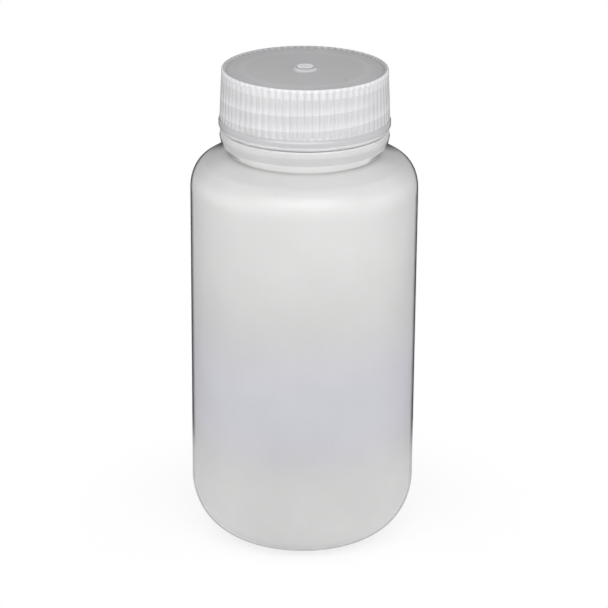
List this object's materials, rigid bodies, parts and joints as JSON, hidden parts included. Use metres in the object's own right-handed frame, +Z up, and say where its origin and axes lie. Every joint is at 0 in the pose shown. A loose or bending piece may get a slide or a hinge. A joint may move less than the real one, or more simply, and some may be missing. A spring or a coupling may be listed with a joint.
{
  "type": "wide-mouth bottle",
  "caption": "Round translucent plastic laboratory bottle with a wide threaded neck, a carrying ring, a ribbed screw cap and a sealing insert under the cap.",
  "frame": {"origin": "centre of the foot, on the surface that the bottle stands on", "axes": "+Z up along the bottle's axis; the picture looks along +Y"},
  "size_m": [0.0615, 0.0614, 0.1329],
  "materials": {
    "bottle_plastic": "milky translucent polypropylene, satin",
    "cap_plastic": "milky translucent polypropylene, smooth moulded",
    "insert_plastic": "soft whitish translucent polyethylene"
  },
  "bodies": {
    "bottle": {"bottle": "bottle_plastic"},
    "sealing_insert": {"sealing_insert": "insert_plastic"},
    "screw_cap": {"screw_cap": "cap_plastic"}
  },
  "joints": [
    {"name": "insert_rise", "type": "slide", "parent": "bottle", "child": "sealing_insert", "axis": [0, 0, 1], "range_m": [0, 0.01694]},
    {"name": "cap_turn", "type": "hinge", "parent": "sealing_insert", "child": "screw_cap", "pos_m": [0, 0, 0.1235], "axis": [0, 0, 1], "range_deg": [0, 1440]}
  ],
  "couplings": [
    {"joint": "insert_rise", "follows": "cap_turn", "m_per_rad": 0.00067322}
  ]
}
